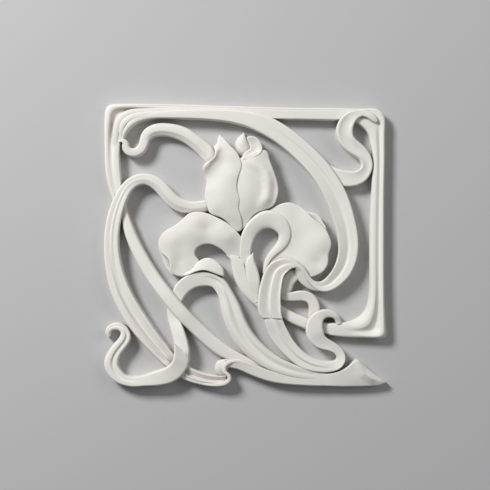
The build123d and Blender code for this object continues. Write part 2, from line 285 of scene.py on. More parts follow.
def crestRise(form, points):  # ridge along a line, straight-sided or rounded
    rise = np.zeros(len(points))
    for first, last in zip(form["crest"], form["crest"][1:]):
        start, way = np.array(first[:2]), np.subtract(last[:2], first[:2])
        share = np.clip((points - start) @ way / (way @ way), 0, 1)
        apart = np.linalg.norm(points - start - share[:, None] * way, axis=1)
        height = first[2] + share * (last[2] - first[2])
        part = np.clip(1 - apart / form["crestWidth"], 0, 1)
        if form["crestSoft"]:
            part = part ** 2 * (3 - 2 * part)
        rise = np.maximum(rise, height * part)
    return rise


def crestPoints(form):
    line = np.array([knot[:2] for knot in form["crest"]])
    marks = chordMarks(line)
    at = rowMarks(marks, casting["crestStep"])
    return np.column_stack([np.interp(at, marks, column) for column in line.T])


def bending(points, places):
    apart = np.linalg.norm(points[:, None] - places, axis=2)
    return apart ** 2 * np.log(np.maximum(apart, casting["leastGap"]))


def petal(name, form):  # outline and dome: x, y, height; a fourth value makes a corner
    lip, step = casting["lip"], casting["gridStep"]
    rim = rimPoints(form["outline"], casting["rimStep"])
    spans = [np.arange(start, end, step) for start, end in zip(rim.min(axis=0), rim.max(axis=0))]
    grid = np.stack(np.meshgrid(*spans), axis=-1)
    grid[::2, :, 0] += step / 2  # every other row is staggered
    grid = grid.reshape(-1, 2)
    grid = grid[inside(grid, rim)]
    grid = grid[rimDistance(grid, rim) > casting["gridInset"] * lip]
    along = np.roll(rim, -1, axis=0) - np.roll(rim, 1, axis=0)
    inward = np.stack((-along[:, 1], along[:, 0]), axis=1) / np.linalg.norm(along, axis=1)[:, None]
    if not inside(rim[:1] + casting["rimProbe"] * inward[:1], rim)[0]:
        inward = -inward
    rows = [grid]
    for share in casting["rimRows"]:
        row = rim + inward * share * lip
        row = row[inside(row, rim)]
        rows.append(row[rimDistance(row, rim) > casting["rowShare"] * share * lip])
    if "crest" in form:
        ridge = crestPoints(form)
        rows[0] = grid[np.linalg.norm(grid[:, None] - ridge, axis=2).min(axis=1) > casting["crestClear"]]
        rows.append(ridge)
    spots = [tuple(point) for point in np.concatenate([rim] + rows)]
    border = [(i, (i + 1) % len(rim)) for i in range(len(rim))]
    net = delaunay_2d_cdt(spots, border, [], 1, casting["weldReach"])  # 1 keeps what lies inside the rim
    flat = np.array([tuple(point) for point in net[0]])
    triangles = [tuple(face) for face in net[2]]
    inset = np.clip(lip - rimDistance(flat, rim), 0, lip)
    tops = plateHeights(form, flat)
    if "crest" in form:
        tops += crestRise(form, flat)
    tops -= lip - np.sqrt(np.maximum(lip ** 2 - inset ** 2, 0))
    count = len(flat)
    foot = np.column_stack((flat[:len(rim)], np.zeros(len(rim))))
    points = np.concatenate((np.column_stack((flat, np.maximum(tops, casting["lowestTop"]))), foot))
    walls = [(a, b, count + b, count + a) for a, b in border]
    floorFace = [tuple(range(count, count + len(rim)))]
    meshPiece(name, points, triangles + walls + floorFace)


def meshPiece(name, points, faces):
    mesh = bpy.data.meshes.new(name)
    mesh.from_pydata((points * millimetre).tolist(), [], faces)
    work = bmesh.new()
    work.from_mesh(mesh)
    bmesh.ops.recalc_face_normals(work, faces=work.faces)
    work.to_mesh(mesh)
    work.free()
    piece = bpy.data.objects.new(name, mesh)
    bpy.context.scene.collection.objects.link(piece)
    forms.append(piece)


# Square frame, from the lower end of its left bar clockwise round to the lower right
frameBar = {
    "sections": [(0, leftBarSection), (8, leftBarSection), (10, topBarSection), (16, topBarSection),
                 (19, rightBarSection), (28, rightBarSection), (30, plainSection)],
    "stations": [
        (-139.5, 44, -130, 48, 11.5, 0.4), (-143, 54, -131, 58, 12.5, 0.4),
        (-146.3, 66, -132, 70, 13.2, 0.4), (-148.5, 80, -133, 84, 13.4, 0.5),
        (-149.4, 100, -133.2, 98, 13.4, 0.9), (-149.8, 120, -131.5, 110, 13.4, 1.7),
        (-149.6, 136, -127, 121, 13.4, 2.4), (-146.8, 147, -121, 128.5, 13.4, 2.6),
        (-136, 149.8, -112, 133, 13.4, 2.4), (-115, 149.8, -98, 136, 13.4, 1.6),
        (-80, 149.2, -75, 137, 13.4, 0.9), (-40, 148, -40, 136.5, 13.4, 0.6), (0, 146.8, 0, 135, 13.2, 0.6),
        (30, 146, 30, 133.5, 13, 0.6), (60, 145.3, 60, 133, 13, 0.6), (100, 145, 100, 132.6, 13, 0.6),
        (128, 144.8, 115, 131, 13, 0.7), (140.5, 143.8, 124, 125.5, 13, 0.8),
        (147, 137, 130, 118.5, 13, 0.8), (148, 124, 132.5, 108, 13, 0.8), (147.8, 100, 134.2, 98, 13, 0.8),
        (147.3, 70, 134.2, 70, 13, 0.7), (147, 20, 132.3, 20, 13, 0.7), (147, -30, 132, -30, 13, 0.9),
        (147.4, -55, 131.5, -54, 13, 1.4), (148.2, -74, 128.5, -66.5, 13, 2),
        (149.2, -88, 123, -74.5, 13, 2.4), (149, -95.5, 117, -78.6, 13, 2.4),
        (145, -98.7, 110.5, -81, 13, 2), (132, -98.8, 104, -82, 13, 1.2), (112, -98.1, 98, -82.6, 13, 0.9),
        (98, -97, 92, -82.8, 13, 0.7), (89, -95.8, 87, -82.6, 12.5, 0.6),
    ],
}
rail("frameBar", frameBar)

# Two thin ridges that nest in the frame's upper left corner
cornerRidge = {
    "sections": [(0, plainSection)],
    "stations": [
        (-138.4, 96, 5, 11.6, 1, 0), (-138.2, 107, 6.5, 13.6, 1, 0), (-137.2, 119, 7.5, 15, 1.2, 0),
        (-133.4, 132, 8, 15.6, 1.3, 0), (-124, 139.2, 7.5, 15.6, 1.3, 0), (-108, 141.6, 6.5, 15.2, 1.1, 0),
        (-85, 142.6, 5, 14.4, 1, 0), (-60, 142.8, 3.5, 13.2, 1, 0),
    ],
}
ribbon("cornerRidge", cornerRidge)
innerRidge = {
    "sections": [(0, plainSection)],
    "step": 1.4,
    "stations": [
        (-132.5, 111, 4.4, 13.4, 1, 0), (-131.6, 121, 6.2, 15.2, 1, 0), (-128.2, 129.6, 7.4, 16.2, 1.1, 0),
        (-121, 134.6, 7.6, 16.4, 1.1, 0), (-110, 137.6, 7, 16.2, 1, 0), (-98, 139.2, 6, 15.6, 0.8, 0),
        (-84, 140, 4, 14.6, 0.6, 0),
    ],
}
ribbon("innerRidge", innerRidge)

# Broad ribbon from the frame's top round the right side, ending in the loop and its cuff
greatArc = {
    "sections": [(0, plainSection), (3, plainSection), (5, flatSection), (7, flatSection), (9, arcSection),
                 (14, arcSection), (17, flatSection), (20, flatSection), (22, loopSection)],
    "stations": [
        (-131, 111, 3, 13.2, 1, 0), (-127.8, 120, 4.5, 15.4, 1.2, 0), (-119.4, 130.2, 7, 16.2, 1.3, 0),
        (-99, 137.2, 7.6, 16, 1, 0), (-80, 138.2, 8.5, 15.8, 0.8, 0), (-40, 138, 10.5, 15.6, 0.8, 0),
        (1.5, 133.3, 15.5, 15.7, 0.8, 0), (24, 125.3, 20, 15.8, 0.9, 0), (57.3, 101.7, 21.3, 15.8, 1, 0),
        (79, 79, 22.3, 15.8, 1, 0), (95.5, 52.3, 23.2, 15.8, 1.1, 0), (105.5, 23.2, 22, 15.8, 1.1, 0),
        (109, 0, 21, 15.8, 1.1, 0), (105.3, -21, 19.5, 15.6, 1, 0), (93, -38, 15.8, 15.2, 0.8, 0),
        (82.5, -43.6, 12, 15.2, 0.6, 0.4), (74.5, -42.2, 7.6, 16, 0.4, 0.6),
        (68.2, -37, 4.8, 16.8, 0.4, 0.6), (63.4, -29.4, 4.2, 18, 0.4, 0.4), (57.8, -23, 4.2, 19.2, 0.4, 0),
        (50.5, -20.4, 8.4, 19.8, 0.6, 0), (42.2, -21, 15.2, 20.2, 0.8, 0), (33, -26.6, 19.8, 20.4, 1, 0),
        (27.6, -40, 22.3, 20.4, 1, 0), (25.3, -55, 23.7, 20.2, 1, 0), (25.2, -66, 24.8, 20, 1, 0),
        (26, -72, 22.8, 19.9, 1, 0), (28.2, -77, 19.4, 19.6, 1, 0),
    ],
    "endSkew": 5.6,  # mm, slants the cuff's edge
}
ribbon("greatArc", greatArc)
loopWeb = {  # low web behind the loop
    "sections": [(0, plainSection)],
    "stations": [
        (41, -56, 12, 11.4, 1, 0), (42.5, -43, 16, 12.2, 1, 0), (50, -32.5, 15.5, 12.4, 1, 0),
        (61, -31, 9, 11.6, 1, 0),
    ],
}
ribbon("loopWeb", loopWeb)
loopWave = {  # back of the ribbon where it turns over
    "outline": [
        (78, -48.6, 15.2), (73.4, -45.6, 15.8), (69, -42, 16.4), (66, -38, 17), (63.3, -33, 17.8),
        (61, -28, 18.8), (57.8, -24.4, 19.4), (53, -24.4, 18.6), (52, -28, 14), (53.6, -33, 12.4),
        (57, -38.6, 11.8), (63, -44, 12.2), (70, -47.8, 13.4),
    ],
    "dome": [(58, -31, 16), (62, -38, 15), (67, -43.4, 15)],
}
petal("loopWave", loopWave)

# Ribbon below the cuff, its return at the lower right and the small curl over the frame's end
lowerWhip = {
    "sections": [(0, whipSection), (4, whipSection), (6, flatSection), (8, archSection), (10, archSection),
                 (12, flatSection), (17, plainSection)],
    "step": 1.5,
    "stations": [
        (26, -66, 17, 16, 1, 0), (29, -78, 18.8, 18, 1, 0), (34.5, -92.5, 20, 16.6, 1, 0),
        (47, -110, 17, 15.6, 1, 0), (61, -122.2, 15.8, 15.4, 1, 0), (78, -128.4, 12.8, 15.4, 1, 0),
        (91, -128.7, 11, 15.6, 0.8, -0.6), (98.8, -125.3, 9.6, 16, 0.6, -1.4),
        (101, -118, 9, 16.2, 0.6, -1.6), (96.3, -110.7, 9.3, 16.2, 0.6, -1), (88, -106, 11, 16.4, 0.6, 0),
        (79.5, -102, 15, 17.4, 0.8, 0), (73.5, -93, 18.5, 18.8, 1, 0), (73.5, -83, 17, 19, 1, 0),
        (79, -75, 12, 18, 1, 0.4), (87.5, -72.5, 8.5, 16.8, 1, 0.4), (95.6, -75.6, 6.9, 15.8, 1, 0),
        (99, -83.6, 6.2, 13.6, 1, 0),
    ],
}
ribbon("lowerWhip", lowerWhip)
frameTail = {
    "sections": [(0, plainSection)],
    "stations": [
        (112, -89.5, 13, 11.5, 1, 0), (98, -89.7, 14.6, 12.2, 1, 0), (84, -88.3, 12.5, 12.2, 1, 0),
        (58, -81, 11.5, 12, 1, 0), (26, -63, 11, 11, 1, 0),
    ],
}
ribbon("frameTail", frameTail)
smallTendril = {
    "sections": [(0, flatSection)],
    "step": 1.4,
    "stations": [
        (33, -53, 8, 11, 1, 0.6), (46, -55, 9, 12.5, 1, 1), (56, -54, 10.6, 13.4, 1, 1),
        (65, -54.8, 11, 13.6, 1, 0.6), (71.2, -59.8, 11.4, 13.4, 1, 0.2), (73, -67, 11.6, 13, 1, 0),
        (72.5, -77, 11.5, 12, 1, 0),
    ],
}
ribbon("smallTendril", smallTendril)

# Tendril that leaves the great arc and curls over the frame's upper right corner
upperRightTendril = {
    "sections": [(0, hollowSection), (9, hollowSection), (11, plainSection)],
    "step": 1.5,
    "stations": [
        (82, 79, 18, 11.5, 0.2, 0), (97, 72, 17, 12.8, 0.2, 0.4), (109, 70.2, 16.5, 13.4, 0.2, 0.6),
        (121, 72.3, 14.5, 14.2, 0.35, 0.6), (128.8, 82.5, 11.5, 14.8, 0.5, 0.4),
        (126, 94, 12, 15.6, 0.7, 0), (118, 101.3, 14.5, 16.2, 0.9, 0), (108.7, 109, 16, 17, 0.9, 0),
        (104.8, 119, 17.5, 17.4, 0.9, 0), (107.5, 130, 16.3, 17.4, 0.8, 0),
        (116, 137.6, 10.6, 17.2, 0.6, 0), (124, 139.4, 7.4, 17, 0.4, 0), (131, 137, 7.4, 17.2, 0.7, 0),
        (136, 133.2, 7, 16.8, 0.7, 0), (138.6, 130.4, 4.6, 15.8, 0.7, 0),
    ],
}
ribbon("upperRightTendril", upperRightTendril)

# Tendril from behind the bloom to the left bar
upperLeftTendril = {
    "sections": [(0, tendrilSection), (5, tendrilSection), (7, plainSection)],
    "step": 1.4,
    "stations": [
        (-25, 78, 15, 11, 1, 0), (-40, 97, 16.5, 12.6, 1, 0), (-53, 109, 15.2, 14, 1, 0),
        (-66, 117.5, 15, 14.4, 1, 0), (-82, 122, 13.8, 14.4, 0.9, 0), (-98, 120.8, 13, 14.2, 0.8, 0),
        (-105, 115.6, 11.5, 14.2, 0.8, 0), (-107.6, 108.6, 10, 14.2, 0.8, 0),
        (-111.4, 101.2, 9.8, 14.2, 0.8, 0), (-118.6, 98, 9.2, 14.4, 0.8, 0),
        (-124.4, 99.8, 8.8, 14.8, 0.8, 0), (-127, 104.2, 7.8, 15.2, 0.8, 0),
        (-127.6, 108.6, 6.4, 15.6, 0.7, 0), (-130, 110.4, 4.4, 15.8, 0.6, 0),
        (-134.4, 109.2, 2.4, 15.2, 0.5, 0),
    ],
}
ribbon("upperLeftTendril", upperLeftTendril)

# Long leaf from behind the bloom, over the left bar and down the left side
leftSweep = {
    "sections": [(0, risingSection), (5, risingSection), (8, sweepSection), (10, sweepSection),
                 (13, channelSection)],
    "stations": [
        (-26, 46, 13, 11, 0.5, 0), (-42, 41.5, 12.5, 12.4, 0.5, 0), (-57, 39.7, 12.5, 13.6, 0.6, 0),
        (-72, 43.5, 14.5, 14.8, 0.9, 0), (-82, 52, 14.5, 15.4, 0.9, 0), (-95, 65.5, 13.5, 15.6, 0.7, 0),
        (-109.5, 69.8, 11.5, 15.8, 0.6, 0), (-122, 64.5, 12, 16, 0.5, 0), (-132, 49.5, 13.5, 16.4, 0.55, 0),
        (-139, 28, 15.2, 16.4, 0.6, 0), (-141.8, 2.5, 15.7, 16, 0.65, 0), (-139, -26, 18, 15.8, 0.9, 0),
        (-131.3, -51, 21, 15.8, 1.2, 0), (-117, -77, 22, 15.6, 1.3, 0), (-95.8, -105, 18.5, 14.6, 1.2, 0),
        (-76, -125.7, 15.3, 12.6, 1, 0), (-62, -136, 14.5, 12.2, 1, 0), (-45, -142.2, 12.7, 12.8, 1, 0),
        (-31, -144, 11.7, 13, 0.9, 0), (-20, -142.7, 10, 12.6, 0.7, 0),
    ],
}
ribbon("leftSweep", leftSweep)
blade = {
    "sections": [(0, flatSection)],
    "stations": [
        (-21, -125.3, 9, 14.6, 1, 1.4), (-10, -126.2, 10, 14.8, 1, 1.4), (8, -132.3, 12, 14.6, 1, 0.9),
        (30, -139.5, 12, 14.2, 1, 0.3), (52, -141.7, 13.3, 13.8, 1, 0), (76, -142.4, 14.4, 13.2, 1, 0),
        (100, -142, 15.5, 11.6, 1, 0),
    ],
}
ribbon("blade", blade)

# Stem from the left bar down to the blade
stem = {
    "sections": [(0, plainSection)],
    "stations": [
        (-131, 44, 7, 11, 1, 0), (-125, 20, 10.8, 12.6, 1, 0), (-113, -8.5, 13, 14, 1, 0),
        (-100.5, -30, 14, 15.4, 1, 0), (-80.5, -57, 14.5, 18.4, 1, 0), (-69.5, -70, 14.5, 18.4, 1, 0),
        (-50.5, -89.3, 14.5, 15.8, 1, 0), (-31, -106.8, 14.5, 14.4, 1, 0), (-17.5, -115.5, 13, 14, 1, 0),
        (0, -122.5, 9.5, 13, 1, 0), (20, -131.5, 7, 12, 1, 0),
    ],
}
ribbon("stem", stem)

# Long leaf with the curled foot at the lower left, looped under the bloom and out to the blade
footLeaf = {
    "sections": [(0, plainSection), (4, footSection), (9, footSection), (11, flatSection)],
    "step": 1.7,
    "stations": [
        (-145.2, -97.4, 3, 11, 0.7, 0), (-146, -94.6, 5.2, 11.8, 0.7, 0),
        (-144.6, -89.3, 6.4, 12.6, 0.8, 0), (-137, -86.3, 7.2, 13.4, 0.8, 0),
        (-129.3, -89.3, 9, 14, 0.8, 0), (-127.3, -97.5, 11.5, 14.4, 1, 0), (-131.5, -104.5, 12, 14.4, 1, 0),
        (-139, -114.5, 12.8, 14.4, 1, 0), (-142.4, -125, 14.8, 14.4, 1, 0),
        (-138, -136.3, 13.8, 14.4, 0.8, 0), (-125, -144.2, 10.5, 14.8, 0.8, -0.4),
        (-110, -144, 11, 15.6, 0.8, -0.6), (-93.5, -141, 15.5, 17, 1, 0), (-77, -135, 17.5, 18.4, 1, 1),
        (-68.2, -123, 17, 18.4, 1, 2.4), (-67.4, -110.6, 15.6, 17.6, 1, 2.8),
    ],
    "endSkew": 6.4,
}
ribbon("footLeaf", footLeaf)
leafLoop = {
    "sections": [(0, flatSection), (6, flatSection), (7, turnSection), (8, creaseSection), (9, leafSection),
                 (10, leafSection), (12, pairSection)],
    "step": 1.7,
    "stations": [
        (-65.6, -124, 12, 14, 1, -1), (-66.8, -113, 15.5, 17, 1, -1.6), (-70.5, -95, 14.2, 15.8, 1, -1.6),
        (-76.5, -72, 13, 12, 1, -0.8), (-71.5, -52.5, 14.5, 12, 1, 0.4), (-61.5, -41, 16, 13.8, 1, 1),
        (-45, -35.8, 16, 14.4, 1, 1.2), (-31, -39, 14.5, 14.8, 1.1, 0.6), (-23, -49, 15.5, 15.4, 1.2, 0),
        (-14.5, -71.5, 21.5, 15.8, 1.35, 0), (-4.5, -94, 22, 15.8, 1.45, 0),
        (10, -111.5, 21, 15.8, 1.45, 0), (27.5, -124, 18, 15.6, 1.1, 0), (50, -133, 14.5, 14.8, 0.7, 0),
        (70, -137, 11.5, 13.6, 0.3, 0), (95, -140, 8, 11.6, 0.1, 0),
    ],
}
ribbon("leafLoop", leafLoop)

# Strap that rises from the throat and turns over in front of the right petal
strap = {
    "sections": [(0, flatSection), (2, flatSection), (4, strapSection), (8, strapSection),
                 (10, plainSection)],
    "step": 1.4,
    "stations": [
        (2, -30, 6, 11, 1, 0), (0, -14, 12, 13, 1, 0), (0, -4, 12.5, 14.6, 1, 0), (3, 10, 14.5, 16, 1, 0.6),
        (12, 22, 16.5, 17.4, 1, 0.8), (24, 27.2, 19, 17.8, 1, 0.6), (36, 22.5, 17.5, 17.4, 1, 0),
        (41.8, 12, 14, 16.6, 1, -0.4), (39.5, 2.3, 11.5, 16.2, 1, -0.4), (31, -7, 8, 15.6, 1, 0),
        (23.5, -17, 6.3, 14, 1, 0), (20.5, -30, 5, 12.5, 1, 0),
    ],
}
ribbon("strap", strap)
lowerLip = {  # turned edge on top of the leaf loop
    "outline": [
        (-68, -31.4, 14), (-59.5, -27.4, 15), (-52.6, -20.4, 16), (-47, -15.4, 16.4), (-40.2, -13.5, 16.8),
        (-33.4, -15.2, 17), (-27, -20.4, 17.2), (-23.6, -26, 17.6), (-22.8, -33.4, 18.2, "tip"),
        (-29, -31.4, 19), (-35.7, -28.8, 19.2), (-43.5, -26.8, 19), (-51.3, -28, 18), (-58, -30.8, 16.4),
        (-63.6, -32.8, 14.6),
    ],
    "dome": [(-40, -20, 18.6), (-30, -24, 19), (-50, -24, 17.8)],
}
petal("lowerLip", lowerLip)
rolledLip = {  # turned top of the right upright petal
    "ease": 10.0,
    "outline": [
        (1.6, 113.8, 19.6), (5, 114.8, 20), (9.3, 114.4, 20.4), (13.6, 111.4, 20.6), (16.6, 106.6, 20.4),
        (17.9, 101.4, 20), (15.3, 96.2, 20), (10.2, 93.2, 20.2), (3.3, 91.6, 20.4), (-3.2, 89.6, 20.2),
        (-3.1, 94.4, 19.4), (0.7, 99.2, 19), (5, 102.6, 18.8), (4.6, 104.7, 18.6), (3.2, 108.4, 18.8),
    ],
    "dome": [
        (9, 110, 18.2), (11.6, 105, 17.8), (11, 100, 17.8), (6.5, 97, 18.2), (1.5, 94.6, 19),
        (7, 112.4, 19),
    ],
}
petal("rolledLip", rolledLip)

# Bracts at the foot of the bloom
leftBract = {
    "sections": [(0, plainSection)],
    "step": 1.2,
    "stations": [
        (-20.5, -10.5, 2, 12.6, 1, 0), (-13.5, -13.5, 8, 13.6, 1, 0), (-8, -21.5, 14, 13.8, 1, 0),
        (-5, -32, 15, 13.6, 1, 0), (-0.5, -43, 14, 13.4, 1, 0), (17, -61, 14, 11.5, 1, 0),
    ],
}
ribbon("leftBract", leftBract)
rightBract = {
    "sections": [(0, plainSection)],
    "step": 1.2,
    "stations": [
        (8.2, -8.5, 1.5, 14.4, 1, 0), (5.5, -15, 8, 16, 1, 0), (6, -25, 12.5, 16.4, 1, 0),
        (8.5, -36, 14, 16, 1, 0), (14, -60, 9, 12.5, 1, 0),
    ],
}
ribbon("rightBract", rightBract)

# Upright petals
leftStandard = {
    "crest": [
        (-31.2, 106, 0.2), (-29.6, 100.6, 1.5), (-33, 93, 2), (-38.2, 87.4, 2), (-42.2, 82.6, 1.4),
        (-43, 78, 0.3),
    ],
    "crestWidth": 4.6,
    "crestSoft": True,
    "outline": [
        (-27, 116.5, 16.5, "tip"), (-22, 112, 18), (-15, 104, 19.5), (-10, 99, 20), (-6, 92, 20.4),
        (-4, 84, 20.6), (-6, 76, 20.6), (-9, 64, 20.8), (-8, 56, 20.5), (-6, 48, 20), (-7, 40, 19.4),
        (-5, 32, 18.4), (-3.5, 24, 17), (-5, 15, 14), (-10, 14, 13.5), (-18, 22, 14.5), (-28, 29.5, 15),
        (-38, 34, 15), (-40.5, 41, 15), (-43, 50, 14.6), (-42, 62, 15), (-42.3, 73, 15.6),
        (-45, 78.5, 17.6), (-44.5, 84, 18.8), (-40, 88, 19.6), (-35, 91, 20), (-32, 97, 20),
        (-33, 104, 18.6), (-30, 108, 17.4), (-29.5, 113, 16.8),
    ],
    "dome": [
        (-30, 101, 20.4), (-29, 95.5, 20.4), (-34.5, 87.5, 20), (-41, 82, 19.6), (-26, 88, 17.6),
        (-35, 79, 17), (-24, 98, 18.4), (-22, 106, 19), (-15, 95, 21), (-25, 78, 19.6), (-15, 74, 21.8),
        (-26, 60, 21), (-36, 60, 18.4), (-15, 48, 21.2), (-29, 44, 19.8), (-12, 30, 19), (-21, 30, 18),
    ],
}
petal("leftStandard", leftStandard)
rightStandard = {
    "ease": 60.0,
    "crest": [
        (-1, 88, 0.4), (4, 87.4, 0.9), (10.2, 85.4, 1.5), (17, 81, 2.2), (21.6, 74.8, 2.8), (24.2, 67, 3.2),
        (24.6, 58.6, 3.2), (22.6, 49.4, 2.6), (17.4, 41.4, 1.2),
    ],
    "crestWidth": 8.5,
    "crestSoft": True,
    "outline": [
        (-8, 90, 18.6), (-3, 93, 19.2), (4, 96, 19.2), (12, 99, 19), (18.4, 100.6, 18.6), (23, 98.4, 18),
        (25.2, 92, 16.8), (28, 83.4, 16.8), (30, 78, 17), (32.3, 71.4, 17.4), (34.2, 63.4, 17.8),
        (34.6, 55, 17.8), (33, 48, 17.4), (30, 42, 16.8), (25, 38.5, 16), (14, 34.5, 15.4), (6, 28, 15),
        (1, 20, 14), (-6, 16, 13.6), (-12, 30, 16.6), (-13, 50, 18.6), (-13, 70, 18.8),
    ],
    "dome": [
        (3, 76, 20.6), (4, 62, 20.8), (3, 50, 20), (-5, 66, 19.8), (15, 70, 19), (15.6, 60, 18.8),
        (14, 50, 18.8), (29, 58, 16.2), (17, 89, 18.4), (8, 91, 20), (24, 70, 18.8), (22, 48, 18.6),
        (2, 36, 18),
    ],
}
petal("rightStandard", rightStandard)
backPetal = {
    "outline": [
        (-1.5, 119, 15, "tip"), (-6, 115.5, 14), (-10, 110.5, 13.4), (-11.2, 105, 13), (-10, 98, 12.5),
        (-5, 92, 12), (4, 92, 12), (9, 99, 12.5), (9, 106, 13), (4, 109.5, 13.4), (0.8, 113, 14.5),
    ],
    "dome": [(-4, 108, 16.8), (-2, 113, 16.2), (-4, 100, 15.4), (5, 103, 13)],
}
petal("backPetal", backPetal)

# Drooping petals
leftFall = {
    "outline": [
        (-4, 8, 15), (-8, 13, 16), (-14, 19, 16), (-22, 25, 16), (-32, 30, 16), (-42, 34, 16.4),
        (-52, 35, 17), (-60, 33.2, 17.2), (-66, 28, 17), (-72, 22.8, 16.6), (-80, 17.8, 16.2),
        (-87, 13, 16), (-91, 7, 15.8), (-92, 0, 15.8), (-90.8, -5.4, 16), (-88.4, -9, 16.2),
        (-84.6, -11.9, 16.6), (-81.4, -15.6, 16.8), (-79.9, -20.8, 16.8), (-79.7, -26, 16),
        (-76.4, -30.6, 15), (-71, -33, 14.4), (-66, -33.4, 14), (-61, -32, 13.6), (-54, -28, 13.4),
        (-49.5, -22, 14.4), (-50, -15, 15), (-53.2, -11, 15.4), (-53.4, -6.5, 15.6), (-50, -2, 15.8),
        (-45, 0.3, 16), (-38, 1, 15.8), (-30, -2, 15.2), (-24, -6, 14.4), (-19, -11, 13.2),
        (-10, -14, 12.5), (0, -10, 12.5), (1, 0, 14),
    ],
    "dome": [
        (-75, -16, 15), (-70, -17, 13.4), (-72, -25, 14.2), (-66, -27, 13.8), (-60, -20, 15),
        (-61, -7, 16.6), (-68, 0, 16.6), (-76, 5, 18.2), (-85, 5, 17.2), (-62, 14, 19.4), (-47, 10, 19),
        (-40, 18, 16), (-50, 27, 19.4), (-36, 27, 17.6), (-62, 25, 18.4), (-24, 20, 18.8), (-29, 9, 18.4),
        (-17.5, 8, 19), (-10, 6, 15.8), (-8, -4, 13.6),
    ],
}
petal("leftFall", leftFall)
leftRuffle = {  # rim of the left petal where it turns under
    "outline": [
        (-91.6, -2.5, 14), (-91, -7, 14), (-88.6, -12.6, 14), (-86.5, -18.3, 14), (-84.5, -23.5, 13.8),
        (-81, -28.6, 13.6), (-76, -32, 13.2), (-70, -31, 11.5), (-72, -22, 11.5), (-76, -14, 11.5),
        (-82, -6, 12), (-87, -1, 12.6),
    ],
    "dome": [(-81, -20, 12)],
}
petal("leftRuffle", leftRuffle)
rightFall = {
    "outline": [
        (28, 39.5, 14), (36, 43, 14.6), (46, 45, 15), (54, 42.8, 14.8), (61, 38.4, 15.2), (65, 34.6, 16.2),
        (68.8, 30.8, 17), (73, 26.8, 17.4), (78.2, 23.2, 17.4), (82.8, 19, 17.6), (86.2, 14.4, 18),
        (89, 8, 18.6), (90.6, 1, 18.6), (89.4, -5, 17.8), (87.6, -10.5, 17.2), (87.6, -16, 17.4),
        (85.6, -23.5, 17), (80, -29.6, 16), (73.5, -33, 14.8), (68, -34.3, 13.6), (59, -28, 12.5),
        (44, -24, 12.5), (29, -24, 12), (23.5, -18, 12.5), (26, -12, 13), (32, -5.5, 13.5), (37, 2, 14.4),
        (37.5, 11, 15), (33, 19, 15), (24, 24, 14.4), (22, 33, 13.8),
    ],
    "dome": [
        (46, 36, 15), (60, 30, 15.2), (52, 20, 14.6), (56, 6, 14), (56, -10, 14.4), (63, 14, 15.4),
        (66, -2, 16.2), (72, 15, 17.6), (76, 2, 18.8), (80, -4, 18.8), (84, 9, 19.6), (76.5, -18.5, 14.4),
        (83.5, -15, 17.6), (70, -26, 16.4), (62, -20, 15.6),
    ],
}
petal("rightFall", rightFall)
rightRuffle = {  # rim of the right petal where it turns under
    "outline": [
        (61, 37.6, 13.4), (67, 34.8, 14.6), (72, 33.8, 15), (77, 31.8, 15), (80.5, 27, 15),
        (83, 22.5, 15.2), (85.4, 17, 15.6), (82, 12, 12), (74, 20, 12), (66, 28, 12),
    ],
    "dome": [(75, 27, 13.4)],
}
petal("rightRuffle", rightRuffle)

# Turned fold at the foot and pointed end of the blade
foldRim = {
    "sections": [(0, plainSection)],
    "step": 1.0,
    "stations": [
        (-50, -146.4, 2.5, 12, 0.6, 0), (-37, -148, 3.4, 13.6, 0.6, 0), (-27, -147.6, 4.2, 14.8, 0.6, 0),
        (-20.2, -145.4, 4.4, 15.6, 0.6, 0), (-17, -141.4, 4.2, 16, 0.6, 0),
        (-18.4, -137.4, 4, 16.2, 0.6, 0), (-21.8, -134.2, 4.2, 16.4, 0.6, 0),
        (-22.6, -129.6, 4.4, 16.4, 0.6, 0), (-19.4, -125.2, 4.4, 16.4, 0.6, 0),
        (-12.4, -122.8, 4, 16, 0.6, 0), (-5, -122.9, 3.8, 15.6, 0.6, 0), (1.2, -125.4, 3.2, 14.8, 0.6, 0),
        (7, -129, 2, 13, 0.5, 0),
    ],
}
ribbon("foldRim", foldRim)
foldLobe = {
    "outline": [
        (-23, -139, 11), (-27, -138.6, 11.4), (-30.8, -135.6, 12), (-32.4, -131, 12.4),
        (-31.2, -125.8, 12.6), (-26.6, -121.8, 12.8), (-20, -120.5, 13), (-12, -120.8, 13),
        (-12, -125, 13.4), (-18, -130, 13),
    ],
    "dome": [(-27, -130, 14.6), (-23, -124.5, 14.8)],
}
petal("foldLobe", foldLobe)
bladeTip = {
    "ease": 20.0,
    "crest": [
        (118.6, -122.6, 1), (121.2, -129, 2.4), (125.4, -135.8, 3), (133.6, -141.4, 2.8),
        (142.6, -144.7, 1.8), (148.4, -145.9, 0.2),
    ],
    "crestWidth": 6.5,
    "crestSoft": False,
    "outline": [
        (149.6, -146, 8.6, "tip"), (144, -148.4, 9), (135, -149.6, 10), (118, -150, 11.4),
        (100, -150, 12.2), (80, -149.4, 12), (66, -146, 10.6), (70, -139, 11), (88, -136, 13.6),
        (100, -133, 14.8), (105, -130.5, 15.2), (110, -127, 15.6), (115, -122.8, 15.8),
        (119, -121.4, 15.6, "hump"), (124, -125, 13.8), (130, -131, 12.4), (140, -139, 10.4),
    ],
    "dome": [
        (113, -133, 14.8), (118, -138, 14.4), (124, -143.5, 13), (107, -139, 14), (94, -142, 13.4),
        (132, -143, 12.2),
    ],
}
petal("bladeTip", bladeTip)
print("stage: forms modelled")


